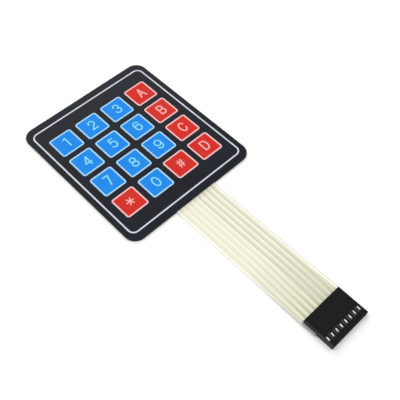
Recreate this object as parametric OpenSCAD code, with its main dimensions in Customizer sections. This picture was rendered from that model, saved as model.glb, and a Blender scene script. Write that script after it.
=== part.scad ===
// Membrane keypad of four rows and four columns, with a flat tail and an eight-way socket connector.
// The origin is the centre of the pad's back face: X runs along a row, Y up a column, Z out of the face.

/* [Pad] */
// Width of the pad
pad_w = 68.6; // [67:0.1:90]
// Height of the pad
pad_h = 77.8; // [75:0.1:110]
// Radius of the pad's corners
pad_corner_r = 5.5; // [1:0.5:8]

/* [Keys] */
// Distance between the centres of two keys
key_pitch = 14.5; // [13:0.25:15]
// Side of a key, over its white outline
key_size = 11.7; // [9:0.1:12.5]
// Radius of a key's corners, over its white outline
key_corner_r = 1.2; // [0.9:0.1:3]
// Width of the white lines
line_w = 0.7; // [0.3:0.05:0.8]
// Distance from the pad's side to the frame line
frame_side = 2.5; // [1:0.1:4]
// Distance from the pad's ends to the frame line
frame_end = 3.6; // [1:0.1:4]
// Radius of the frame line's corners, on its outer side
frame_corner_r = 3.2; // [1:0.1:5]

/* [Layers] */
// Thickness of the release liner
liner_t = 0.1; // [0.05:0.01:0.2]
// Thickness of the mounting adhesive
rear_adhesive_t = 0.1; // [0.05:0.01:0.2]
// Thickness of a circuit film
film_t = 0.125; // [0.075:0.005:0.2]
// Thickness of the spacer
spacer_t = 0.2; // [0.12:0.01:0.4]
// Thickness of the adhesive under the overlay
overlay_adhesive_t = 0.05; // [0.03:0.01:0.15]
// Thickness of the overlay film
overlay_t = 0.2; // [0.1:0.01:0.4]
// Thickness of the printed ink on the face
print_t = 0.02; // [0.01:0.005:0.04]

/* [Circuit] */
// Thickness of the silver ink
track_t = 0.02; // [0.01:0.005:0.03]
// Width of a track inside the pad
track_w = 1; // [0.6:0.1:1.1]
// Distance between two tracks that run side by side inside the pad
track_pitch = 1.6; // [1.4:0.1:1.7]
// Distance from the pad's edge to the middle of the outermost track
track_edge = 2.5; // [2:0.1:3]
// Diameter of a contact under a key
contact_d = 7.5; // [5:0.1:8]
// Diameter of the spacer's hole at a key
hole_d = 9; // [8.2:0.1:10]
// Width of the spacer's vent channels
vent_w = 1.6; // [1.2:0.1:2.5]

/* [Tail] */
// Width of the tail
tail_w = 22; // [20.5:0.1:26]
// Length of the tail between the pad and the housing
tail_len = 68.6; // [40:0.1:150]
// Thickness of the adhesive between the films of the tail
tail_adhesive_t = 0.05; // [0.04:0.01:0.1]
// Width of a track in the tail
tail_track_w = 1.85; // [1.75:0.05:2.3]
// Height of the ridge that the upper film makes over a track
ridge_h = 0.05; // [0.02:0.01:0.08]
// Height of that ridge at the housing, where the crimps draw the film together
crimp_ridge_h = 0.2; // [0.05:0.01:0.25]
// Length over which the tail comes down from the pad to the surface
drop_len = 6; // [3:0.5:10]
// Length over which the tail climbs to the housing
climb_len = 22; // [5:0.5:28]
// Straight length of the tail just behind the housing
lead_len = 1; // [0.5:0.1:3]

/* [Connector] */
// Distance between two ways
way_pitch = 2.54; // [2.5:0.01:2.8]
// Length of the housing
housing_len = 14.4; // [13:0.1:18]
// Height of the housing
housing_h = 2.54; // [2.3:0.02:3.2]
// Bevel along the housing's long edges
housing_bevel = 0.15; // [0.05:0.05:0.3]
// Depth of the slot that takes the film
slot_depth = 7; // [6:0.1:8]
// Room above and below the film in the slot
slot_gap = 0.1; // [0.05:0.01:0.15]
// Distance from the film's end to the slot's bottom
film_end_gap = 0.4; // [0.2:0.1:1]
// Thickness of the wall at the front
front_wall = 0.8; // [0.5:0.05:1.2]
// Distance from the front to the windows
window_from_front = 2.35; // [1.8:0.05:2.8]
// Length of a window
window_len = 2.3; // [1.6:0.1:2.8]
// Width of a window
window_w = 1.1; // [0.8:0.05:1.5]
// Width of a square pin that the socket takes
pin_size = 0.64; // [0.5:0.01:0.7]
// Room around the pin in its hole
pin_gap = 0.15; // [0.1:0.01:0.2]
// Width of the lead-in around a pin hole
lead_in_w = 1.6; // [1.2:0.05:1.9]
// Depth of that lead-in
lead_in_depth = 0.4; // [0.2:0.05:0.45]

/* [Terminals] */
// Thickness of the terminals' sheet metal
terminal_t = 0.25; // [0.15:0.01:0.28]
// Room around a terminal in its cavity
terminal_gap = 0.05; // [0.02:0.01:0.1]
// Width of a terminal's socket box
box_w = 1.8; // [1.6:0.05:2]
// Height of a terminal's socket box
box_h = 1.6; // [1.5:0.02:1.8]
// Length of the neck between the film's slot and the box
neck_len = 0.6; // [0.4:0.1:1.2]
// Width of that neck
neck_w = 1; // [0.6:0.1:1.4]
// Width over the crimp tines
crimp_w = 1.6; // [1.3:0.05:1.8]
// Distance from the crimp's ends to its tines
crimp_margin = 0.8; // [0.4:0.1:1]
// Length of a tine along the tail
tine_len = 1.1; // [0.6:0.1:1.4]
// Length of a tine's leg over the film
tine_leg = 0.35; // [0.2:0.01:0.4]
// Room around a tine in the film
tine_gap = 0.03; // [0.01:0.01:0.05]
// Width of a locking lance
lance_w = 0.35; // [0.3:0.05:0.7]
// Room between a lance and its window's ends
lance_gap = 0.45; // [0.1:0.05:0.5]
// Depth of a lance's tip under the housing's face
lance_sink = 0.06; // [0.03:0.01:0.1]
// Thickness of the contact springs
spring_t = 0.12; // [0.08:0.01:0.14]
// Height of the contact springs
spring_h = 0.8; // [0.5:0.05:0.95]
// Distance from the ends of the box to the springs
spring_end = 0.6; // [0.3:0.1:1]
// Length of a spring's foot on the wall of the box
spring_foot = 0.5; // [0.3:0.1:0.8]

/* [Hidden] */
$fn = 48;
rows = 4;
columns = 4;
ways = rows + columns;
tine_pairs = 3;
ridge_steps = 6;
drop_steps = 6;
climb_steps = 10;
spring_steps = 8;

// Cuts reach this far past the faces that they open
past = 0.5;

// Heights of the layers, from the back face up
rear_adhesive_z = liner_t;
lower_film_z = rear_adhesive_z + rear_adhesive_t;
spacer_z = lower_film_z + film_t;
upper_film_z = spacer_z + spacer_t;
overlay_adhesive_z = upper_film_z + film_t;
overlay_z = overlay_adhesive_z + overlay_adhesive_t;
print_z = overlay_z + overlay_t;

// Heights inside the tail, from its underside
upper_tail_z = film_t + tail_adhesive_t;
tail_top_z = upper_tail_z + film_t;

// Places along the tail
tail_y = -pad_h / 2;
housing_rear_y = tail_y - tail_len;
housing_front_y = housing_rear_y - housing_len;
film_in_slot = slot_depth - film_end_gap;

// Length of each tail strip inside the pad, over the feet of its tracks
root_len = track_edge / 2;

// Connector
housing_w = ways * way_pitch;
cavity_w = box_w + 2 * terminal_gap;
cavity_h = box_h + 2 * terminal_gap;
terminal_z = (housing_h - box_h) / 2;
seat_z = terminal_z + terminal_t;
box_len = housing_len - slot_depth - neck_len - front_wall - terminal_gap;
box_rear_y = housing_rear_y - slot_depth - neck_len;
crimp_rear_y = housing_rear_y - crimp_margin / 2;
crimp_len = slot_depth - crimp_margin / 2;
crimp_top = terminal_t + tail_top_z + crimp_ridge_h;
tine_pitch = (film_in_slot - 2 * crimp_margin - tine_len) / (tine_pairs - 1);
lance_len = window_len - 2 * lance_gap;
lance_rise = (housing_h - box_h) / 2 - lance_sink;
lance_tip_y = housing_front_y + window_from_front + window_len - lance_gap;

// Middle of a way, counted from the left
function way_x(i) = (i - (ways - 1) / 2) * way_pitch;

// Middle of a key, counted from the top left
function key_x(c) = (c - (columns - 1) / 2) * key_pitch;
function key_y(r) = ((rows - 1) / 2 - r) * key_pitch;

// The right-hand column and the keys beside the lowest row's zero are red
function is_red(c, r) = c == columns - 1 || (r == rows - 1 && c != 1);

// Middle of a crimp's tines along the tail
function tine_y(p) = housing_rear_y - crimp_margin - tine_len / 2 - p * tine_pitch;

module rounded_rect(w, h, r) {
    square([w - 2 * r, h], center = true);
    square([w, h - 2 * r], center = true);
    for (x = [-1, 1])
        for (y = [-1, 1])
            translate([x * (w / 2 - r), y * (h / 2 - r)])
                circle(r);
}

module line_ring(w, h, r) {
    difference() {
        rounded_rect(w, h, r);
        rounded_rect(w - 2 * line_w, h - 2 * line_w, r - line_w);
    }
}

module pad_outline() {
    rounded_rect(pad_w, pad_h, pad_corner_r);
}

module at_keys() {
    for (c = [0:columns - 1])
        for (r = [0:rows - 1])
            translate([key_x(c), key_y(r)])
                children();
}

// A sheet of the pad's outline
module pad_sheet(z, t) {
    translate([0, 0, z])
        linear_extrude(t)
            pad_outline();
}

// Eases from 0 to 1 with level ends
function ease(t) = t * t * (3 - 2 * t);

// Stations along the tail as [y, height of its underside, height of the ridges].
// It starts inside the pad, drop above its place in the tail, and ends in the housing's slot.
function tail_path(drop) = concat(
    [[tail_y + root_len, drop, 0]],
    [
        for (k = [0:drop_steps])
            let (t = k / drop_steps)
                [tail_y - drop_len * t, drop * (1 - ease(t)), ridge_h * ease(t)]
    ],
    tail_rise
);

// The stations from the climb on, which all layers of the tail share
tail_rise = concat(
    [
        for (k = [0:climb_steps])
            let (t = k / climb_steps)
                [
                    housing_rear_y + lead_len + climb_len * (1 - t),
                    seat_z * ease(t),
                    ridge_h + (crimp_ridge_h - ridge_h) * ease(t)
                ]
    ],
    [[housing_rear_y - film_in_slot, seat_z, crimp_ridge_h]]
);

// A flat layer of the tail: from z0 to z1 over its underside, w wide around x
module tail_layer(path, z0, z1, x, w) {
    last = len(path) - 1;
    translate([x - w / 2, 0, 0])
        rotate([90, 0, 90])
            linear_extrude(w)
                polygon(concat(
                    [for (s = path) [s[0], s[1] + z0]],
                    [for (k = [last:-1:0]) [path[k][0], path[k][1] + z1]]
                ));
}

// What the tines of one crimp take out of the tail
module tine_slits(i) {
    slit = [terminal_t + 2 * tine_gap, tine_len + 2 * tine_gap, tail_top_z + 2 * past];
    for (p = [0:tine_pairs - 1])
        for (side = [-1, 1])
            translate([way_x(i) + side * (crimp_w - terminal_t) / 2, tine_y(p), seat_z + tail_top_z / 2])
                cube(slit, center = true);
}

module all_tine_slits() {
    for (i = [0:ways - 1])
        tine_slits(i);
}

// A printed line between two points that share their x or their y
module line(a, b, w) {
    low = [min(a.x, b.x) - w / 2, min(a.y, b.y) - w / 2];
    translate(low)
        square([abs(a.x - b.x) + w, abs(a.y - b.y) + w]);
}

// From the end of a run inside the pad to the pad's edge
module way_foot(i, y) {
    translate([way_x(i) - tail_track_w / 2, tail_y])
        square([tail_track_w, y + track_w / 2 - tail_y]);
}

// Row tracks go out to the left side, down it, and along the lower end to the left half of the tail
module row_pattern(r) {
    side_x = -pad_w / 2 + track_edge + r * track_pitch;
    run_y = tail_y + track_edge + r * track_pitch;
    for (c = [0:columns - 1])
        translate([key_x(c), key_y(r)])
            circle(d = contact_d);
    line([side_x, key_y(r)], [key_x(columns - 1), key_y(r)], track_w);
    line([side_x, key_y(r)], [side_x, run_y], track_w);
    line([side_x, run_y], [way_x(r), run_y], track_w);
    way_foot(r, run_y);
}

// Column tracks go straight down and along the lower end to the right half of the tail
module column_pattern(c) {
    run_y = tail_y + track_edge + c * track_pitch;
    for (r = [0:rows - 1])
        translate([key_x(c), key_y(r)])
            circle(d = contact_d);
    line([key_x(c), key_y(0)], [key_x(c), run_y], track_w);
    line([key_x(c), run_y], [way_x(rows + c), run_y], track_w);
    way_foot(rows + c, run_y);
}

// A track of the tail, z over its underside
module tail_track(path, i, z) {
    tail_layer(path, z, z + track_t, way_x(i), tail_track_w);
}

// Top of the tail from side to side as [x, height], crowned over each track
function tail_top(ridge) = concat(
    [[-tail_w / 2, tail_top_z]],
    [
        for (i = [0:ways - 1])
            for (k = [0:ridge_steps])
                let (s = 2 * k / ridge_steps - 1)
                    [way_x(i) + s * tail_track_w / 2, tail_top_z + ridge * (1 - s * s)]
    ],
    [[tail_w / 2, tail_top_z]]
);

// The upper film's strip, lofted along the path between a flat underside and the crowned top
module crowned_strip(path) {
    n = len(tail_top(0));
    last = len(path) - 1;
    function at(i, j, under) = (2 * i + under) * n + j;
    polyhedron(
        points = [
            for (s = path)
                for (under = [0, 1])
                    for (p = tail_top(s[2]))
                        [p.x, s[0], s[1] + (under == 1 ? upper_tail_z : p.y)]
        ],
        faces = concat(
            [
                for (i = [0:last - 1])
                    for (j = [0:n - 2])
                        [at(i, j, 0), at(i, j + 1, 0), at(i + 1, j + 1, 0), at(i + 1, j, 0)]
            ],
            [
                for (i = [0:last - 1])
                    for (j = [0:n - 2])
                        [at(i, j, 1), at(i + 1, j, 1), at(i + 1, j + 1, 1), at(i, j + 1, 1)]
            ],
            [for (i = [0:last - 1]) [at(i, 0, 0), at(i + 1, 0, 0), at(i + 1, 0, 1), at(i, 0, 1)]],
            [
                for (i = [0:last - 1])
                    [at(i, n - 1, 0), at(i, n - 1, 1), at(i + 1, n - 1, 1), at(i + 1, n - 1, 0)]
            ],
            [for (j = [0:n - 2]) [at(0, j + 1, 0), at(0, j, 0), at(0, j, 1), at(0, j + 1, 1)]],
            [for (j = [0:n - 2]) [at(last, j, 0), at(last, j + 1, 0), at(last, j + 1, 1), at(last, j, 1)]]
        )
    );
}

module graphic_overlay() {
    color("#26292e")
        pad_sheet(overlay_z, overlay_t);
}

module white_print() {
    color("#f4f4f2")
        translate([0, 0, print_z])
            linear_extrude(print_t) {
                line_ring(pad_w - 2 * frame_side, pad_h - 2 * frame_end, frame_corner_r);
                at_keys()
                    line_ring(key_size, key_size, key_corner_r);
            }
}

module key_print(red) {
    side = key_size - 2 * line_w;
    translate([0, 0, print_z])
        linear_extrude(print_t)
            for (c = [0:columns - 1])
                for (r = [0:rows - 1])
                    if (is_red(c, r) == red)
                        translate([key_x(c), key_y(r)])
                            rounded_rect(side, side, key_corner_r - line_w);
}

module blue_print() {
    color("#2f8fe8")
        key_print(false);
}

module red_print() {
    color("#dc3030")
        key_print(true);
}

module overlay_adhesive() {
    color("#242427")
        pad_sheet(overlay_adhesive_z, overlay_adhesive_t);
}

module upper_circuit_film() {
    color("#efecd8")
        difference() {
            union() {
                pad_sheet(upper_film_z, film_t);
                crowned_strip(tail_path(upper_film_z - upper_tail_z));
            }
            all_tine_slits();
        }
}

module column_track(c) {
    color("#b9b9b4")
        difference() {
            union() {
                translate([0, 0, upper_film_z - track_t])
                    linear_extrude(track_t)
                        column_pattern(c);
                tail_track(tail_path(upper_film_z - upper_tail_z), rows + c, upper_tail_z - track_t);
            }
            tine_slits(rows + c);
        }
}

// Adhesive-coated film that keeps the circuits apart, sunk where tracks lie against it
module spacer() {
    color("#2a2a2d")
        translate([0, 0, spacer_z])
            difference() {
                linear_extrude(spacer_t)
                    pad_outline();
                translate([0, 0, -past])
                    linear_extrude(spacer_t + 2 * past) {
                        at_keys()
                            circle(d = hole_d);
                        for (r = [0:rows - 1])
                            line([key_x(0), key_y(r)], [key_x(columns - 1), key_y(r)], vent_w);
                        line([key_x(0), key_y(0)], [key_x(0), key_y(rows - 1)], vent_w);
                    }
                for (r = [0:rows - 1])
                    translate([0, 0, -past])
                        linear_extrude(past + track_t)
                            row_pattern(r);
                for (c = [0:columns - 1])
                    translate([0, 0, spacer_t - track_t])
                        linear_extrude(track_t + past)
                            column_pattern(c);
            }
}

module row_track(r) {
    color("#c4c4bf")
        difference() {
            union() {
                translate([0, 0, spacer_z])
                    linear_extrude(track_t)
                        row_pattern(r);
                tail_track(tail_path(lower_film_z), r, film_t);
            }
            tine_slits(r);
        }
}

module lower_circuit_film() {
    color("#efecd8")
        difference() {
            union() {
                pad_sheet(lower_film_z, film_t);
                tail_layer(tail_path(lower_film_z), 0, film_t, 0, tail_w);
            }
            all_tine_slits();
        }
}

// Fills the tail between its films, around the tracks
module tail_adhesive() {
    bonded = concat([[tail_y - drop_len, 0, ridge_h]], tail_rise);
    color("#e6e2cc")
        difference() {
            tail_layer(bonded, film_t, upper_tail_z, 0, tail_w);
            for (r = [0:rows - 1])
                tail_track(bonded, r, film_t);
            for (c = [0:columns - 1])
                tail_track(bonded, rows + c, upper_tail_z - track_t);
            all_tine_slits();
        }
}

module rear_adhesive() {
    color("#242427")
        pad_sheet(rear_adhesive_z, rear_adhesive_t);
}

module release_liner() {
    color("#f3f1ea")
        pad_sheet(0, liner_t);
}

// Square mouth that narrows to the pin hole, cut into the front from y = 0 towards +Y
module lead_in() {
    hole_w = pin_size + 2 * pin_gap;
    mouth = [
        [-lead_in_w / 2, 0],
        [lead_in_w / 2, 0],
        [hole_w / 2, lead_in_depth],
        [-hole_w / 2, lead_in_depth]
    ];
    intersection() {
        translate([0, 0, -lead_in_w / 2])
            linear_extrude(lead_in_w)
                polygon(mouth);
        rotate([0, 90, 0])
            translate([0, 0, -lead_in_w / 2])
                linear_extrude(lead_in_w)
                    polygon(mouth);
    }
    translate([-hole_w / 2, 0, -hole_w / 2])
        cube([hole_w, front_wall + past, hole_w]);
}

// Side view of the housing, bevelled along its four long edges
module housing_side() {
    b = housing_bevel;
    polygon([
        [b, 0],
        [housing_len - b, 0],
        [housing_len, b],
        [housing_len, housing_h - b],
        [housing_len - b, housing_h],
        [b, housing_h],
        [0, housing_h - b],
        [0, b]
    ]);
}

module connector_housing() {
    color("#1c1c20")
        difference() {
            translate([-housing_w / 2, housing_front_y, 0])
                rotate([90, 0, 90])
                    linear_extrude(housing_w)
                        housing_side();
            translate([-housing_w / 2 - past, housing_rear_y - slot_depth, seat_z - slot_gap])
                cube([housing_w + 2 * past, slot_depth + past, tail_top_z + crimp_ridge_h + 2 * slot_gap]);
            for (i = [0:ways - 1])
                translate([way_x(i), housing_front_y, 0]) {
                    translate([-cavity_w / 2, front_wall, terminal_z - terminal_gap])
                        cube([cavity_w, housing_len, cavity_h]);
                    translate([-window_w / 2, window_from_front, terminal_z + box_h])
                        cube([window_w, window_len, housing_h]);
                    translate([0, 0, housing_h / 2])
                        lead_in();
                }
        }
}

// One curled tine, standing at the crimp's right-hand side
module tine_section() {
    translate([crimp_w / 2 - terminal_t, 0])
        square([terminal_t, crimp_top]);
    translate([crimp_w / 2 - terminal_t - tine_leg, crimp_top])
        square([tine_leg, terminal_t]);
    translate([crimp_w / 2 - terminal_t, crimp_top])
        intersection() {
            circle(terminal_t);
            square(terminal_t);
        }
}

// Leaf that stands with its rear foot on the box's right-hand wall and bows in to the side of the pin
module spring_outline() {
    wall_x = box_w / 2 - terminal_t;
    bow = wall_x - spring_t - pin_size / 2;
    len = box_len - 2 * spring_end - spring_foot;
    function inner(k) = [
        wall_x - bow * (1 - pow(2 * k / spring_steps - 1, 2)),
        -spring_end - spring_foot - len * k / spring_steps
    ];
    polygon(concat(
        [[wall_x, -spring_end]],
        [for (k = [0:spring_steps]) inner(k)],
        [for (k = [spring_steps:-1:0]) inner(k) - [spring_t, 0]],
        [[wall_x - spring_t, -spring_end]]
    ));
}

// A section drawn in X and Z, drawn out towards -Y
module straight(len) {
    rotate([90, 0, 0])
        linear_extrude(len)
            children();
}

module box_tube() {
    straight(box_len)
        difference() {
            translate([-box_w / 2, 0])
                square([box_w, box_h]);
            translate([terminal_t - box_w / 2, terminal_t])
                square([box_w - 2 * terminal_t, box_h - 2 * terminal_t]);
        }
}

// Tongue of the box's roof, bent up towards the tail
module lance() {
    translate([-lance_w / 2, lance_tip_y - lance_len, box_h - terminal_t])
        rotate([90, 0, 90])
            linear_extrude(lance_w)
                polygon([
                    [0, 0],
                    [lance_len, lance_rise],
                    [lance_len, lance_rise + terminal_t],
                    [0, terminal_t]
                ]);
}

// Stamped from one sheet: crimp, neck, socket box with its springs, and lance
module terminal(i) {
    color("#cfcdc6")
        translate([way_x(i), 0, terminal_z]) {
            translate([-crimp_w / 2, crimp_rear_y - crimp_len, 0])
                cube([crimp_w, crimp_len, terminal_t]);
            for (p = [0:tine_pairs - 1])
                for (side = [0, 1])
                    translate([0, tine_y(p) + tine_len / 2, 0])
                        mirror([side, 0, 0])
                            straight(tine_len)
                                tine_section();
            translate([-neck_w / 2, box_rear_y, 0])
                cube([neck_w, neck_len, terminal_t]);
            difference() {
                translate([0, box_rear_y, 0])
                    box_tube();
                translate([-lance_w / 2 - tine_gap, lance_tip_y - lance_len, box_h - terminal_t - past / 2])
                    cube([lance_w + 2 * tine_gap, lance_len + lance_gap, terminal_t + past]);
            }
            lance();
            for (side = [0, 1])
                translate([0, box_rear_y, (box_h - spring_h) / 2])
                    mirror([side, 0, 0])
                        linear_extrude(spring_h)
                            spring_outline();
        }
}

graphic_overlay();
white_print();
blue_print();
red_print();
overlay_adhesive();
upper_circuit_film();
for (c = [0:columns - 1])
    column_track(c);
spacer();
for (r = [0:rows - 1])
    row_track(r);
lower_circuit_film();
tail_adhesive();
rear_adhesive();
release_liner();
connector_housing();
for (i = [0:ways - 1])
    terminal(i);
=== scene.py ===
import math

import bmesh
import bpy
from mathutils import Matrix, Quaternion, Vector


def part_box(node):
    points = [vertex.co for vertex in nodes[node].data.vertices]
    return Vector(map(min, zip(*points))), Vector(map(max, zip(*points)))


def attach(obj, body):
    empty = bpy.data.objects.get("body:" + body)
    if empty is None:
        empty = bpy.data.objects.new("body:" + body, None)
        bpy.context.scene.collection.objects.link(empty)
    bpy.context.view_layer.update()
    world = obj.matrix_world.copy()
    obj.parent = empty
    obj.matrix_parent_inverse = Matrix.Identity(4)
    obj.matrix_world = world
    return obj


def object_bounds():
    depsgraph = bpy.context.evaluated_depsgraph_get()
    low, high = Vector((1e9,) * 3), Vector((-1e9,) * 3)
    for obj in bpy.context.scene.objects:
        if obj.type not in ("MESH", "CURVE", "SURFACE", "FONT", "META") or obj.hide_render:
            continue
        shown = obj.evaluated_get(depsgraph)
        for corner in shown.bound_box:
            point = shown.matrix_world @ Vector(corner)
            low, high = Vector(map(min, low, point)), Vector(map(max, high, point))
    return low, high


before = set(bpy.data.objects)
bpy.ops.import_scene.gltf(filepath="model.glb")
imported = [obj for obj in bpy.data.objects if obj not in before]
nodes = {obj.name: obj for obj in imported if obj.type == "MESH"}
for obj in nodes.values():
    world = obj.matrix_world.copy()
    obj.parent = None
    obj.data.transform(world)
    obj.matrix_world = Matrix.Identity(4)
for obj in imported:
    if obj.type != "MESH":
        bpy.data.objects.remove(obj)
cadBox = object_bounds()  # the solids' own box, before they are dressed
mm = 0.001
print("frame loaded:", len(nodes), "nodes")


# Sizes and names that the dressing needs, read off the frame
padLow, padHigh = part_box("graphic_overlay")
blueLow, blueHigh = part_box("blue_print")
redLow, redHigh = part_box("red_print")
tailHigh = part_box("tail_adhesive")[1]
housingLow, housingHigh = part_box("connector_housing")
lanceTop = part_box("terminal_1")[1].z
keyPitch = (redHigh.x - redLow.x) - (blueHigh.x - blueLow.x)  # red spans four columns, blue three
keysEdge = 2 * keyPitch  # from the pad's middle to the outer side of the last key's place
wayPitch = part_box("terminal_2")[0].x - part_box("terminal_1")[0].x
terminals = [name for name in nodes if name.startswith("terminal_")]
tracks = [name for name in nodes if "_track_" in name]
waysEdge = len(terminals) / 2 * wayPitch  # from the tail's middle to the outer side of its last way


def hexColour(code):
    # sRGB hex to the linear values that shaders take
    parts = [int(code[i:i + 2], 16) / 255 for i in (1, 3, 5)]
    linear = [v / 12.92 if v <= 0.04045 else ((v + 0.055) / 1.055) ** 2.4 for v in parts]
    return (*linear, 1.0)


def joinUp(tree, node, links):
    # a link that names a whole node takes its first output
    for key, source in links.items():
        socket = source if isinstance(source, bpy.types.NodeSocket) else source.outputs[0]
        tree.links.new(socket, node.inputs[key])


def addNode(tree, kind, settings=None, links=None):
    # a key of settings is a property of the node, a ramp's stops, or else one of its sockets
    node = tree.nodes.new(kind)
    for key, value in (settings or {}).items():
        if key == "stops":
            ramp = node.color_ramp.elements
            while len(ramp) < len(value):
                ramp.new(1.0)
            for stop, (place, code) in zip(ramp, value):
                stop.position = place
                stop.color = hexColour(code)
        elif isinstance(key, str) and hasattr(node, key):
            setattr(node, key, value)
        else:
            node.inputs[key].default_value = value
    joinUp(tree, node, links or {})
    return node


def newSurface(name, values):
    # a Principled surface, with what is the same all over it on its own sockets
    material = bpy.data.materials.new(name)
    material.use_nodes = True
    tree = material.node_tree
    shader = tree.nodes["Principled BSDF"]
    for key, value in values.items():
        shader.inputs[key].default_value = value
    place = addNode(tree, "ShaderNodeTexCoord").outputs["Object"]
    return material, tree, shader, place


def mottle(tree, place, sizeMm, detail, stops):
    # patches of one size that wander between two tones
    patches = addNode(tree, "ShaderNodeTexNoise",
                      {"Scale": 1 / (sizeMm * mm), "Detail": detail}, {"Vector": place})
    return addNode(tree, "ShaderNodeValToRGB", {"stops": stops}, {"Fac": patches})


def dress(material, *names):
    for name in names:
        nodes[name].data.materials.clear()
        nodes[name].data.materials.append(material)


# Black face film: polyester with an embossed velvet grain, printed black on its back.
# The grain breaks the gloss into a soft bluish sheen that clouds a little from place to place.
faceFilm = {
    "tones": [(0.35, "#060b17"), (0.7, "#0c1320")], "cloudMm": 11, "cloudDetail": 3,
    "grainMm": 0.45,  # the real grain is 0.1 mm, drawn coarser so that it shows
    "bump": 0.12, "bumpMm": 0.02,
    "ior": 1.57, "specular": 0.15, "roughLow": 0.38, "roughHigh": 0.5,
}


def makeFaceFilm(look):
    material, tree, shader, place = newSurface(
        "velvet polyester face film", {"IOR": look["ior"], "Specular IOR Level": look["specular"]})
    cloud = addNode(tree, "ShaderNodeTexNoise",
                    {"Scale": 1 / (look["cloudMm"] * mm), "Detail": look["cloudDetail"]}, {"Vector": place})
    tone = addNode(tree, "ShaderNodeValToRGB", {"stops": look["tones"]}, {"Fac": cloud})
    rough = addNode(tree, "ShaderNodeMapRange",
                    {"To Min": look["roughLow"], "To Max": look["roughHigh"]}, {"Value": cloud})
    grain = addNode(tree, "ShaderNodeTexVoronoi", {"Scale": 1 / (look["grainMm"] * mm)}, {"Vector": place})
    bump = addNode(tree, "ShaderNodeBump",
                   {"Strength": look["bump"], "Distance": look["bumpMm"] * mm}, {"Height": grain})
    joinUp(tree, shader, {"Base Color": tone, "Roughness": rough, "Normal": bump})
    return material


dress(makeFaceFilm(faceFilm), "graphic_overlay")
print("face film dressed")


# Screen inks: a thin even coat, cured hard, with the faint weave of the printing mesh in it.
# Opaque and half glossy, a shade deeper where the squeegee left more.
# The white is one thin pass, so beside the keys it takes up a tint of their colour,
# and more of it in the legends, which lie on the colour itself.
whiteInk = {"thin": "#c9cfda", "full": "#d8dde6", "byBlue": "#a6d5f6", "byRed": "#f0bfbf"}
legendInk = {**whiteInk, "byBlue": "#80d6fa", "byRed": "#fbadab"}
blueInk = {"thin": "#1489e4", "full": "#0784ea"}
redInk = {"thin": "#ce2b22", "full": "#d52214"}
inkCoat = {
    "patchMm": 5, "patchDetail": 4,
    "patchEnds": (0.35, 0.65),  # levels of the noise at which the coat is thin and full
    "meshMm": 0.5,  # the mesh has 0.1 mm threads, drawn coarser so that it shows
    "waveRadians": 20,  # in one unit of a wave texture of scale 1
    "bump": 0.06, "bumpMm": 0.01, "ior": 1.5, "specular": 0.15, "roughness": 0.5,
}


def keyTint(tree, place, plain, look):
    # red keys are the last column and the two signs beside the zero, the frame line is outside all keys
    axes = addNode(tree, "ShaderNodeSeparateXYZ", {}, {"Vector": place})
    across, along = axes.outputs["X"], axes.outputs["Y"]
    last = addNode(tree, "ShaderNodeMath", {"operation": "GREATER_THAN", 1: keyPitch}, {0: across})
    bottom = addNode(tree, "ShaderNodeMath", {"operation": "LESS_THAN", 1: -keyPitch}, {0: along})
    zero = addNode(tree, "ShaderNodeMath",
                   {"operation": "COMPARE", 1: -keyPitch / 2, 2: keyPitch / 2}, {0: across})
    signs = addNode(tree, "ShaderNodeMath",
                    {"operation": "SUBTRACT", "use_clamp": True}, {0: bottom, 1: zero})
    red = addNode(tree, "ShaderNodeMath", {"operation": "MAXIMUM"}, {0: last, 1: signs})
    tint = addNode(tree, "ShaderNodeMixRGB",
                   {"Color1": hexColour(look["byBlue"]), "Color2": hexColour(look["byRed"])}, {"Fac": red})
    offX, offY = [
        addNode(tree, "ShaderNodeMath", {"operation": "ABSOLUTE"}, {0: axis}) for axis in (across, along)
    ]
    far = addNode(tree, "ShaderNodeMath", {"operation": "MAXIMUM"}, {0: offX, 1: offY})
    frameLine = addNode(tree, "ShaderNodeMath", {"operation": "GREATER_THAN", 1: keysEdge}, {0: far})
    return addNode(tree, "ShaderNodeMixRGB", {}, {"Fac": frameLine, "Color1": tint, "Color2": plain})


def makeInk(name, look, coat):
    material, tree, shader, place = newSurface(
        name, {"IOR": coat["ior"], "Specular IOR Level": coat["specular"], "Roughness": coat["roughness"]})
    stops = list(zip(coat["patchEnds"], (look["thin"], look["full"])))
    tone = mottle(tree, place, coat["patchMm"], coat["patchDetail"], stops)
    if "byRed" in look:
        tone = keyTint(tree, place, tone, look)
    meshScale = math.tau / coat["waveRadians"] / (coat["meshMm"] * mm)
    warp, weft = [
        addNode(tree, "ShaderNodeTexWave", {"bands_direction": way, "Scale": meshScale}, {"Vector": place})
        for way in ("X", "Y")
    ]
    mesh = addNode(tree, "ShaderNodeMath", {"operation": "MULTIPLY"},
                   {0: warp.outputs["Fac"], 1: weft.outputs["Fac"]})
    bump = addNode(tree, "ShaderNodeBump",
                   {"Strength": coat["bump"], "Distance": coat["bumpMm"] * mm}, {"Height": mesh})
    joinUp(tree, shader, {"Base Color": tone, "Normal": bump})
    return material


dress(makeInk("white screen ink", whiteInk, inkCoat), "white_print")
dress(makeInk("blue screen ink", blueInk, inkCoat), "blue_print")
dress(makeInk("red screen ink", redInk, inkCoat), "red_print")
print("inks dressed")


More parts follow.
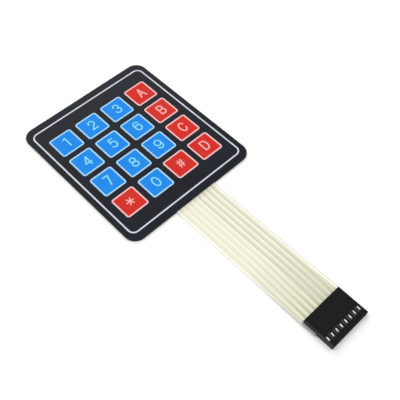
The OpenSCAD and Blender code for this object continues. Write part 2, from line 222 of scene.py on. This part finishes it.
# Circuit films: heat-stabilised polyester, cream and milky, with silver tracks printed between them.
# The eye sees clear gaps, darker bands over the tracks and a painted shadow line on each band's left side.
# The rows lie behind the adhesive too and show faintly, the columns right behind the film and show more.
# Where the tail climbs to the connector it is ridged over the tracks. There the bands turn into
# painted highlights on the crests and painted shade in the hollows, which drift sideways with the climb.
circuitFilm = {
    "clear": "#fbf9e5", "gapMm": 0.75, "shadeMm": 0.55, "softMm": 0.12,
    "row": {
        "shade": "#e8e6ce", "band": "#eeecd5", "hollowShade": "#bcba9f", "crestHighlight": "#f0eed3",
        "drift": (-0.42, 0.16),  # of a pitch, from the flat to the connector
    },
    "column": {
        "shade": "#d2d0b9", "band": "#e6e4cd", "hollowShade": "#c1bfa6", "crestHighlight": "#e3e1c8",
        "drift": (-0.6, 0.12),
    },
    "liftMm": 32,  # the climb, from the housing back
    "margin": "#fcfaee", "marginLiftedShade": "#d9d7c9", "marginDriftMm": 0.5, "cut": "#dad8c9", "cutMm": 0.35,
    "beside": "#b2b1a9", "inPadShade": "#232426", "padEdgeMm": 0.01, "rootMm": 2.6, "rootShade": 0.74,
    "streakMm": 0.5, "streakLength": 25, "streakDetail": 2, "streakDepth": 0.03,  # length is in widths
    "bump": 0.05, "bumpMm": 0.02, "ior": 1.57, "specular": 0.3, "roughness": 0.42,
}


def bandStops(look, half):
    # one pitch, from the middle of a gap to the middle of the next
    pitch = wayPitch / mm
    soft = look["softMm"] / pitch
    edge = look["gapMm"] / 2 / pitch
    dark = edge + look["shadeMm"] / pitch
    # the shade stops paint the shadow line beside each track
    return [
        (edge - soft / 2, look["clear"]), (edge + soft, half["shade"]), (dark, half["shade"]),
        (dark + 2 * soft, half["band"]), (1 - edge - soft / 2, half["band"]),
        (1 - edge + soft / 2, look["clear"]),
    ]


def tailBands(tree, across, lift, look):
    # rows on the left and columns on the right, each from flat bands to painted ridges with the lift
    halfPitch = 0.5  # from a hollow to the crest
    turns = addNode(tree, "ShaderNodeMath", {"operation": "DIVIDE", 1: wayPitch}, {0: across})
    halves = []
    for half in (look["row"], look["column"]):
        drift = addNode(tree, "ShaderNodeMapRange",
                        {"To Min": half["drift"][0], "To Max": half["drift"][1]}, {"Value": lift})
        moved = addNode(tree, "ShaderNodeMath", {"operation": "ADD"}, {0: turns, 1: drift})
        phase = addNode(tree, "ShaderNodeMath", {"operation": "FRACT"}, {0: turns})
        flat = addNode(tree, "ShaderNodeValToRGB", {"stops": bandStops(look, half)}, {"Fac": phase})
        fromHollow = addNode(tree, "ShaderNodeMath", {"operation": "PINGPONG", 1: halfPitch}, {0: moved})
        rise = addNode(tree, "ShaderNodeMapRange",
                       {"interpolation_type": "SMOOTHSTEP", "From Max": halfPitch}, {"Value": fromHollow})
        # painted shade in the hollows and painted highlight on the crests
        paintedRidge = addNode(tree, "ShaderNodeMixRGB",
                        {"Color1": hexColour(half["hollowShade"]), "Color2": hexColour(half["crestHighlight"])},
                        {"Fac": rise})
        halves.append(addNode(tree, "ShaderNodeMixRGB", {}, {"Fac": lift, "Color1": flat, "Color2": paintedRidge}))
    onRight = addNode(tree, "ShaderNodeMath", {"operation": "GREATER_THAN", 1: 0.0}, {0: across})
    return addNode(tree, "ShaderNodeMixRGB", {}, {"Fac": onRight, "Color1": halves[0], "Color2": halves[1]})


def makeCircuitFilm(look):
    material, tree, shader, place = newSurface(
        "milky polyester circuit film",
        {"IOR": look["ior"], "Specular IOR Level": look["specular"], "Roughness": look["roughness"]})
    axes = addNode(tree, "ShaderNodeSeparateXYZ", {}, {"Vector": place})
    across, along = axes.outputs["X"], axes.outputs["Y"]
    lift = addNode(tree, "ShaderNodeMapRange",
                   {"From Min": housingHigh.y + look["liftMm"] * mm, "From Max": housingHigh.y},
                   {"Value": along})
    bands = tailBands(tree, across, lift, look)
    # painted shade: the left margin darkens where the film lifts off the floor
    leftMargin = addNode(tree, "ShaderNodeMixRGB",
                         {"Color1": hexColour(look["margin"]), "Color2": hexColour(look["marginLiftedShade"])},
                         {"Fac": lift})
    onLeft = addNode(tree, "ShaderNodeMath", {"operation": "LESS_THAN", 1: -waysEdge}, {0: across})
    sheet = addNode(tree, "ShaderNodeMixRGB", {}, {"Fac": onLeft, "Color1": bands, "Color2": leftMargin})
    wider = addNode(tree, "ShaderNodeMath", {"operation": "MULTIPLY_ADD", 1: look["marginDriftMm"] * mm},
                    {0: lift, 2: across})
    # one over the other: the right margin, its cut edge, the strip beside the housing painted in its shade,
    # and the film painted dark inside the pad, a painted shade that shows at the pad's cut sides
    for where, test, limit, code in (
            (wider, "GREATER_THAN", waysEdge, "margin"),
            (across, "GREATER_THAN", tailHigh.x - look["cutMm"] * mm, "cut"),
            (along, "LESS_THAN", housingHigh.y, "beside"),
            # painted shade: the clear film is painted dark inside the pad, so its cut sides read as one dark
            # line
            (along, "GREATER_THAN", padLow.y - look["padEdgeMm"] * mm, "inPadShade")):
        there = addNode(tree, "ShaderNodeMath", {"operation": test, 1: limit}, {0: where})
        sheet = addNode(tree, "ShaderNodeMixRGB", {"Color2": hexColour(look[code])},
                        {"Fac": there, "Color1": sheet})
    # draw lines of the film, long in the tail's direction
    fine = 1 / (look["streakMm"] * mm)
    stretch = addNode(tree, "ShaderNodeMapping",
                      {"Scale": (fine, fine / look["streakLength"], 1.0)}, {"Vector": place})
    streak = addNode(tree, "ShaderNodeTexNoise",
                     {"Scale": 1.0, "Detail": look["streakDetail"]}, {"Vector": stretch})
    level = addNode(tree, "ShaderNodeMapRange",
                    {"To Min": 1 - look["streakDepth"], "To Max": 1 + look["streakDepth"]},
                    {"Value": streak})
    # painted shadow: the film darkens towards its root, where the pad stands over it
    root = addNode(tree, "ShaderNodeMapRange",
                   {"From Min": padLow.y - look["rootMm"] * mm, "From Max": padLow.y,
                    "To Min": 1.0, "To Max": look["rootShade"]}, {"Value": along})
    streaksAndShadow = addNode(tree, "ShaderNodeMath", {"operation": "MULTIPLY"}, {0: level, 1: root})
    final = addNode(tree, "ShaderNodeMixRGB", {"blend_type": "MULTIPLY", "Fac": 1.0},
                    {"Color1": sheet, "Color2": streaksAndShadow})
    bump = addNode(tree, "ShaderNodeBump",
                   {"Strength": look["bump"], "Distance": look["bumpMm"] * mm}, {"Height": streak})
    joinUp(tree, shader, {"Base Color": final, "Normal": bump})
    return material


dress(makeCircuitFilm(circuitFilm), "upper_circuit_film", "lower_circuit_film")
print("circuit films dressed")


# Layers that show only as thin lines at the pad's and the tail's edges.
# In the pad they are tinted black like the face, so that its cut side looks like one dark line.
edgeLayers = {
    "black acrylic adhesive": {
        "nodes": ("overlay_adhesive", "rear_adhesive"),
        "tones": [(0.3, "#17181a"), (0.7, "#232427")], "grainMm": 0.4, "roughness": 0.45},
    "black polyester spacer": {
        "nodes": ("spacer",),
        "tones": [(0.3, "#1b1c1e"), (0.7, "#27282b")], "grainMm": 1.2, "roughness": 0.5},
    "clear acrylic adhesive": {
        "nodes": ("tail_adhesive",),
        "tones": [(0.3, "#cfc9ad"), (0.7, "#ddd8c0")], "grainMm": 0.4, "roughness": 0.35},
    "silver-filled printed ink": {
        "nodes": tracks,
        "tones": [(0.3, "#a9a9a4"), (0.7, "#bdbdb8")], "grainMm": 0.15, "roughness": 0.6},
}
layerCut = {"specular": 0.3, "grainDetail": 3}  # the same for all of them


def makeLayer(name, look, cut):
    material, tree, shader, place = newSurface(
        name, {"Roughness": look["roughness"], "Specular IOR Level": cut["specular"]})
    tone = mottle(tree, place, look["grainMm"], cut["grainDetail"], look["tones"])
    joinUp(tree, shader, {"Base Color": tone})
    return material


for layerName, layerLook in edgeLayers.items():
    dress(makeLayer(layerName, layerLook, layerCut), *layerLook["nodes"])
print("edge layers dressed")


# Release liner: bleached kraft paper with a silicone coat on its inner side.
# Off-white with the cloud and short fibres of paper, dull but smooth.
linerPaper = {
    "tones": [(0.35, "#e6e2d4"), (0.7, "#f3f0e6")], "cloudMm": 6, "cloudDetail": 5,
    "fibreMm": 0.35, "fibreDetail": 4, "fibreTwist": 1.5, "bump": 0.15, "bumpMm": 0.03,
    "specular": 0.25, "roughness": 0.6,
}


def makeLiner(look):
    material, tree, shader, place = newSurface(
        "silicone-coated kraft paper",
        {"Roughness": look["roughness"], "Specular IOR Level": look["specular"]})
    tone = mottle(tree, place, look["cloudMm"], look["cloudDetail"], look["tones"])
    fibre = addNode(tree, "ShaderNodeTexNoise",
                    {"Scale": 1 / (look["fibreMm"] * mm), "Detail": look["fibreDetail"],
                     "Distortion": look["fibreTwist"]}, {"Vector": place})
    bump = addNode(tree, "ShaderNodeBump",
                   {"Strength": look["bump"], "Distance": look["bumpMm"] * mm}, {"Height": fibre})
    joinUp(tree, shader, {"Base Color": tone, "Normal": bump})
    return material


dress(makeLiner(linerPaper), "release_liner")
print("liner dressed")


# Connector housing: black glass-filled nylon, moulded in a spark-eroded tool.
# A deep grey-black with a fine matt grain and faint flow marks along the ways. The two ends come
# smoother off the tool, and the top has a painted sheen: it is paler along the left one
# and on the ribs between the windows.
housingNylon = {
    "tones": [(0.35, "#0a0a0b"), (0.7, "#101012")], "flowMm": 2.2, "flowDetail": 4,
    "flowAlong": 0.3,  # scale along the ways, so that the marks are longer than wide
    "grainMm": 0.16, "grainDetail": 2, "bump": 0.25, "bumpMm": 0.02,
    "paintedSheenAndShade": "#343436", "ribMm": 1.04, "ribShiftMm": 0.15, "endMm": 0.5, "topMm": 0.05,
    "windowsMm": (2.35, 4.65),  # from the front
    "ior": 1.53, "specular": 0.12, "roughEnds": 0.3, "roughFaces": 0.6,
}


def paintedSheenTop(tree, place, look):
    # 1 where the sheen is painted: on the ribs between the windows and along the left end, on the top face
    #                               only
    axes = addNode(tree, "ShaderNodeSeparateXYZ", {}, {"Vector": place})
    across, along, up = [axes.outputs[axis] for axis in ("X", "Y", "Z")]
    fromRib = addNode(tree, "ShaderNodeMath",
                      {"operation": "SUBTRACT", 1: look["ribShiftMm"] * mm}, {0: across})
    offRib = addNode(tree, "ShaderNodeMath", {"operation": "PINGPONG", 1: wayPitch / 2}, {0: fromRib})
    onRib = addNode(tree, "ShaderNodeMath",
                    {"operation": "LESS_THAN", 1: look["ribMm"] / 2 * mm}, {0: offRib})
    first, last = [housingLow.y + reach * mm for reach in look["windowsMm"]]
    inRow = addNode(tree, "ShaderNodeMath",
                    {"operation": "COMPARE", 1: (first + last) / 2, 2: (last - first) / 2}, {0: along})
    ribs = addNode(tree, "ShaderNodeMath", {"operation": "MULTIPLY"}, {0: onRib, 1: inRow})
    leftEnd = addNode(tree, "ShaderNodeMath",
                      {"operation": "LESS_THAN", 1: housingLow.x + look["endMm"] * mm}, {0: across})
    either = addNode(tree, "ShaderNodeMath", {"operation": "MAXIMUM"}, {0: ribs, 1: leftEnd})
    onTop = addNode(tree, "ShaderNodeMath",
                    {"operation": "GREATER_THAN", 1: housingHigh.z - look["topMm"] * mm}, {0: up})
    return addNode(tree, "ShaderNodeMath", {"operation": "MULTIPLY"}, {0: either, 1: onTop})


def makeHousing(look):
    material, tree, shader, place = newSurface(
        "moulded glass-filled nylon", {"IOR": look["ior"], "Specular IOR Level": look["specular"]})
    stretch = addNode(tree, "ShaderNodeMapping", {"Scale": (1.0, look["flowAlong"], 1.0)}, {"Vector": place})
    tone = mottle(tree, stretch, look["flowMm"], look["flowDetail"], look["tones"])
    # painted sheen on the ribs and the left end of the top
    paler = addNode(tree, "ShaderNodeMixRGB", {"Color2": hexColour(look["paintedSheenAndShade"])},
                    {"Fac": paintedSheenTop(tree, place, look), "Color1": tone})
    facing = addNode(tree, "ShaderNodeNewGeometry")
    sides = addNode(tree, "ShaderNodeSeparateXYZ", {}, {"Vector": facing.outputs["Normal"]})
    sideways = addNode(tree, "ShaderNodeMath", {"operation": "ABSOLUTE"}, {0: sides.outputs["X"]})
    rough = addNode(tree, "ShaderNodeMapRange",
                    {"To Min": look["roughFaces"], "To Max": look["roughEnds"]}, {"Value": sideways})
    grain = addNode(tree, "ShaderNodeTexNoise",
                    {"Scale": 1 / (look["grainMm"] * mm), "Detail": look["grainDetail"]}, {"Vector": place})
    bump = addNode(tree, "ShaderNodeBump",
                   {"Strength": look["bump"], "Distance": look["bumpMm"] * mm}, {"Height": grain})
    joinUp(tree, shader, {"Base Color": paler, "Roughness": rough, "Normal": bump})
    return material


dress(makeHousing(housingNylon), "connector_housing")
print("housing dressed")


# Terminals: phosphor bronze strip, tin over it, stamped and rolled.
# A white metal with soft reflections and fine rolling lines along the strip. It is painted dull grey in the
# housing's ways, a painted shade, and keeps its bright tin on the raised lance in the middle of each window.
tinPlate = {
    "paintedShade": "#5a5b5c", "bright": "#e3e4e4", "softMm": 0.03,
    "raisedMm": 0.4,  # how far the lance stands out
    "lineMm": 0.08, "lineAlong": 0.03, "lineDetail": 3, "lineDepth": 0.12,
    "roughLow": 0.34, "roughHigh": 0.46,
}


def makeTin(look):
    material, tree, shader, place = newSurface("tin-plated phosphor bronze", {"Metallic": 1.0})
    fine = 1 / (look["lineMm"] * mm)
    stretch = addNode(tree, "ShaderNodeMapping",
                      {"Scale": (fine, fine * look["lineAlong"], fine)}, {"Vector": place})
    lines = addNode(tree, "ShaderNodeTexNoise",
                    {"Scale": 1.0, "Detail": look["lineDetail"]}, {"Vector": stretch})
    axes = addNode(tree, "ShaderNodeSeparateXYZ", {}, {"Vector": place})
    lanceRoot = lanceTop - look["raisedMm"] * mm
    # painted shade below the lance's root, the tin's own colour on the lance
    paintedSheenAndShade = addNode(tree, "ShaderNodeMapRange",
                     {"From Min": lanceRoot, "From Max": lanceRoot + look["softMm"] * mm},
                     {"Value": axes.outputs["Z"]})
    coat = addNode(tree, "ShaderNodeMixRGB",
                   {"Color1": hexColour(look["paintedShade"]), "Color2": hexColour(look["bright"])}, {"Fac": paintedSheenAndShade})
    depth = addNode(tree, "ShaderNodeMapRange",
                    {"To Min": 1 - look["lineDepth"], "To Max": 1.0}, {"Value": lines})
    tone = addNode(tree, "ShaderNodeMixRGB", {"blend_type": "MULTIPLY", "Fac": 1.0},
                   {"Color1": coat, "Color2": depth})
    rough = addNode(tree, "ShaderNodeMapRange",
                    {"To Min": look["roughLow"], "To Max": look["roughHigh"]}, {"Value": lines})
    joinUp(tree, shader, {"Base Color": tone, "Roughness": rough})
    return material


dress(makeTin(tinPlate), *terminals)
print("terminals dressed")


# Key legends: generic numerals, letters and signs, drawn as strokes of one width with round ends
legend = {
    "layout": ("123A", "456B", "789C", "*0#D"),
    "sizeMm": (3.55, 5.7), "strokeMm": 0.7, "shiftMm": (0.33, 0.25),  # sizes are over the strokes' outside
    "signs": {"*": (4.1, 4.1), "#": (3.2, 4.4)}, "signStrokeMm": 0.58, "signShiftMm": (0.21, 0.15),
    "coatMm": 0.012, "sinkMm": 0.005, "overlapMm": 0.003,
    "arcSteps": 48, "arcLeast": 4, "capSteps": 8, "closedMm": 0.03,  # ends nearer than this join
}


def arc(cx, cy, rx, ry, start, end):
    # from start to end in degrees, with steps in proportion to the turn
    count = max(legend["arcLeast"], round(legend["arcSteps"] * abs(end - start) / 360))
    angles = [math.radians(start + (end - start) * k / count) for k in range(count + 1)]
    return [(cx + rx * math.cos(a), cy + ry * math.sin(a)) for a in angles]


def spoke(angle):
    x, y = math.cos(math.radians(angle)), math.sin(math.radians(angle))
    return [(-x, -y), (x, y)]


# each sign is a list of strokes in a box from -1 to 1 both ways
glyphs = {
    "0": [arc(0, 0, 1, 1, 90, 450)],
    "1": [[(-0.5, 0.8), (0.3, 1)], [(0.3, 1), (0.3, -1)]],
    "2": [arc(0, 0.42, 0.95, 0.58, 175, -25) + [(-1, -1)], [(-1, -1), (1, -1)]],
    "3": [arc(-0.02, 0.48, 0.88, 0.52, 178, -78), arc(-0.02, -0.48, 1, 0.52, 80, -178)],
    "4": [[(0.55, 1), (0.55, -1)], [(0.55, 1), (-1.05, -0.46)], [(-1.05, -0.46), (1.08, -0.46)]],
    "5": [[(0.88, 1), (-0.55, 1)], [(-0.55, 1), (-0.72, 0.1)], arc(0.02, -0.32, 1, 0.68, 141, -150)],
    "6": [arc(0, -0.36, 1, 0.64, 90, 450), arc(0, 0.35, 1, 0.65, 22, 180) + [(-1, -0.36)]],
    "7": [[(-0.84, 1), (0.92, 1)], [(0.92, 1), (-0.16, -1)]],
    "8": [arc(0, 0.5, 0.85, 0.5, 90, 450), arc(0, -0.48, 1, 0.52, 90, 450)],
    "9": [arc(0, 0.36, 1, 0.64, 90, 450), [(1, 0.36)] + arc(0, -0.35, 1, 0.65, 0, -158)],
    "A": [[(-1.05, -1), (0, 1)], [(0, 1), (1.05, -1)], [(-0.64, -0.22), (0.64, -0.22)]],
    "B": [[(-0.9, -1), (-0.9, 1)], [(-0.9, 1)] + arc(0.1, 0.52, 0.75, 0.48, 90, -90) + [(-0.9, 0.04)],
          [(-0.9, 0.04)] + arc(0.15, -0.48, 0.85, 0.52, 90, -90) + [(-0.9, -1)]],
    "C": [arc(0.02, 0, 1, 1, 33, 338)],
    "D": [[(-0.9, -1), (-0.9, 1)], [(-0.9, 1)] + arc(0, 0, 1.05, 1, 90, -90) + [(-0.9, -1)]],
    "*": [spoke(angle) for angle in (0, 60, 120)],
    "#": [[(-0.73, -1), (-0.31, 1)], [(0.3, -1), (0.74, 1)],
          [(-0.97, 0.49), (0.98, 0.49)], [(-1, -0.3), (0.95, -0.3)]],
}


def addStroke(bm, points, half, low, high):
    closed = (points[0] - points[-1]).length < legend["closedMm"] * mm
    if closed:
        points = points[:-1]
    count = len(points)
    lefts, rights, faces = [], [], []
    for i, p in enumerate(points):
        before = points[i - 1] if closed or i > 0 else p
        after = points[(i + 1) % count] if closed or i < count - 1 else p
        run = (after - before).normalized()
        side = Vector((-run.y, run.x)) * half
        lefts.append(bm.verts.new((*(p + side), high)))
        rights.append(bm.verts.new((*(p - side), high)))
    for i in range(count if closed else count - 1):
        j = (i + 1) % count
        faces.append(bm.faces.new((rights[i], rights[j], lefts[j], lefts[i])))
    if not closed:
        # half discs close the two ends
        for end, turn in ((count - 1, 1), (0, -1)):
            spread = (rights[end].co - points[end].to_3d()) * turn
            cap = [rights[end] if turn > 0 else lefts[end]]
            for k in range(1, legend["capSteps"]):
                a = math.pi * k / legend["capSteps"]
                x = spread.x * math.cos(a) - spread.y * math.sin(a)
                y = spread.x * math.sin(a) + spread.y * math.cos(a)
                cap.append(bm.verts.new((points[end].x + x, points[end].y + y, high)))
            cap.append(lefts[end] if turn > 0 else rights[end])
            faces.append(bm.faces.new(cap))
    # drop a copy of the outline to give the coat its thickness
    under = {v: bm.verts.new((v.co.x, v.co.y, low)) for v in {v for f in faces for v in f.verts}}
    for face in faces:
        bm.faces.new([under[v] for v in reversed(face.verts)])
        for edge in face.edges:
            if len(edge.link_faces) == 1:
                a, b = edge.verts
                bm.faces.new((a, b, under[b], under[a]))


def makeLegends(look):
    bm = bmesh.new()
    high = blueHigh.z + look["coatMm"] * mm
    low = blueHigh.z - look["sinkMm"] * mm
    middle = (len(look["layout"]) - 1) / 2
    for row, signs in enumerate(look["layout"]):
        for column, sign in enumerate(signs):
            centre = Vector(((column - middle) * keyPitch, (middle - row) * keyPitch))
            plain = sign.isalnum()
            width = look["strokeMm" if plain else "signStrokeMm"] * mm
            centre += Vector(look["shiftMm" if plain else "signShiftMm"]) * mm
            reach = [(size * mm - width) / 2 for size in look["signs"].get(sign, look["sizeMm"])]
            for layer, stroke in enumerate(glyphs[sign]):
                points = [centre + Vector((x * reach[0], y * reach[1])) for x, y in stroke]
                # strokes that cross lie one over the other, so that no two tops share a plane
                addStroke(bm, points, width / 2, low, high + layer * look["overlapMm"] * mm)
    bmesh.ops.recalc_face_normals(bm, faces=bm.faces)
    mesh = bpy.data.meshes.new("key_legends")
    bm.to_mesh(mesh)
    bm.free()
    mesh.materials.append(makeInk("white screen ink over colour", legendInk, inkCoat))
    piece = bpy.data.objects.new("key_legends", mesh)
    bpy.context.scene.collection.objects.link(piece)
    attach(piece, "root")


makeLegends(legend)
print("legends drawn")


# Floor and light: a white card that sweeps up behind the object, and three softboxes
studio = {
    "floorColour": "#fafafa", "floorMm": 2200, "coveMm": 600, "wallMm": 1000, "floorGapMm": 0.02,
    "turnSteps": 64, "coveSteps": 8, "glowLevel": 1.7, "glow": (0.1, 0.6), "fadeMm": (300, 900),
    "ambientColour": "#ffffff", "ambient": 0.4, "lampMm": 800, "lampRangeMm": 1600,
    "lamps": {  # bearing from +X, height in degrees, watts
        "side softbox": (-25, 60, 7.1),
        "rear softbox": (116, 60, 8.9),
        "sheen strip": (62, 32, 4.6),
    },
}


def makeFloor(look):
    # a round floor that sweeps up into a low wall, so that no edge shows behind the object
    middle = (cadBox[0] + cadBox[1]) / 2
    middle.z = cadBox[0].z - look["floorGapMm"] * mm
    flat = look["floorMm"] - look["coveMm"]
    profile = [(look["floorMm"], look["wallMm"])]
    for k in range(look["coveSteps"], -1, -1):
        a = math.pi / 2 * k / look["coveSteps"]
        profile.append((flat + look["coveMm"] * math.sin(a), look["coveMm"] * (1 - math.cos(a))))
    bm = bmesh.new()
    rings = []
    for radius, height in profile:
        turns = [math.tau * k / look["turnSteps"] for k in range(look["turnSteps"])]
        ring = [Vector((radius * math.cos(a), radius * math.sin(a), height)) * mm + middle for a in turns]
        rings.append([bm.verts.new(point) for point in ring])
    bm.faces.new(rings[-1])
    for high, low in zip(rings, rings[1:]):
        for k in range(look["turnSteps"]):
            bm.faces.new((low[k - 1], low[k], high[k], high[k - 1])).smooth = True
    bmesh.ops.recalc_face_normals(bm, faces=bm.faces)
    mesh = bpy.data.meshes.new("floor")
    bm.to_mesh(mesh)
    bm.free()
    floor = bpy.data.objects.new("floor", mesh)
    bpy.context.scene.collection.objects.link(floor)
    mesh.materials.append(makeCard(look, middle))


def makeCard(look, middle):
    # white card: a matt surface that keeps the shadow, lifted to white where it is looked at
    material = bpy.data.materials.new("white studio card")
    material.use_nodes = True
    tree = material.node_tree
    tree.nodes.remove(tree.nodes["Principled BSDF"])
    card = addNode(tree, "ShaderNodeBsdfDiffuse", {"Color": hexColour(look["floorColour"])})
    glow = addNode(tree, "ShaderNodeEmission", {"Strength": look["glowLevel"]})
    path = addNode(tree, "ShaderNodeLightPath")
    direct = addNode(tree, "ShaderNodeMath", {"operation": "MAXIMUM"},
                     {0: path.outputs["Is Camera Ray"], 1: path.outputs["Is Glossy Ray"]})
    seen = addNode(tree, "ShaderNodeMath", {"operation": "MAXIMUM"},
                   {0: direct, 1: path.outputs["Is Transmission Ray"]})
    place = addNode(tree, "ShaderNodeTexCoord").outputs["Object"]
    away = addNode(tree, "ShaderNodeVectorMath", {"operation": "DISTANCE", 1: middle}, {0: place})
    share = addNode(tree, "ShaderNodeMapRange",
                    {"From Min": look["fadeMm"][0] * mm, "From Max": look["fadeMm"][1] * mm,
                     "To Min": look["glow"][0], "To Max": look["glow"][1]}, {"Value": away.outputs["Value"]})
    lifted = addNode(tree, "ShaderNodeMath", {"operation": "MULTIPLY"}, {0: seen, 1: share})
    blend = addNode(tree, "ShaderNodeMixShader", {}, {0: lifted, 1: card, 2: glow})
    joinUp(tree, tree.nodes["Material Output"], {"Surface": blend})
    return material


def makeLight(look):
    world = bpy.data.worlds.new("studio")
    bpy.context.scene.world = world
    world.use_nodes = True
    background = world.node_tree.nodes["Background"]
    background.inputs["Color"].default_value = hexColour(look["ambientColour"])
    background.inputs["Strength"].default_value = look["ambient"]
    aim = Vector((0, (padHigh.y + housingLow.y) / 2, 0))
    for name, (bearing, height, watts) in look["lamps"].items():
        lamp = bpy.data.lights.new(name, "AREA")
        lamp.size = look["lampMm"] * mm
        lamp.energy = watts
        box = bpy.data.objects.new(name, lamp)
        a, b = math.radians(bearing), math.radians(height)
        reach = Vector((math.cos(a) * math.cos(b), math.sin(a) * math.cos(b), math.sin(b)))
        box.location = aim + reach * look["lampRangeMm"] * mm
        box.rotation_euler = (-reach).to_track_quat("-Z", "Y").to_euler()
        bpy.context.scene.collection.objects.link(box)


makeFloor(studio)
makeLight(studio)
print("studio set")


# Camera, worked out from the corners of the sixteen keys in the picture
view = {
    "eyeMm": (-105.52, -148.78, 225.66), "aimMm": (0.53, -40.9, 0.0), "rollDeg": 0.804,
    "lensMm": 57.89, "sensorMm": 36, "nearMm": 10,
}


def makeCamera(look):
    camera = bpy.data.cameras.new("camera")
    camera.sensor_width = look["sensorMm"]
    camera.lens = look["lensMm"]
    camera.clip_start = look["nearMm"] * mm
    stand = bpy.data.objects.new("camera", camera)
    stand.location = Vector(look["eyeMm"]) * mm
    sight = Vector(look["aimMm"]) * mm - stand.location
    turn = sight.to_track_quat("-Z", "Y") @ Quaternion((0, 0, 1), math.radians(look["rollDeg"]))
    stand.rotation_euler = turn.to_euler()
    bpy.context.scene.collection.objects.link(stand)
    bpy.context.scene.camera = stand


makeCamera(view)
bpy.context.scene.view_settings.view_transform = "Standard"
print("camera set")
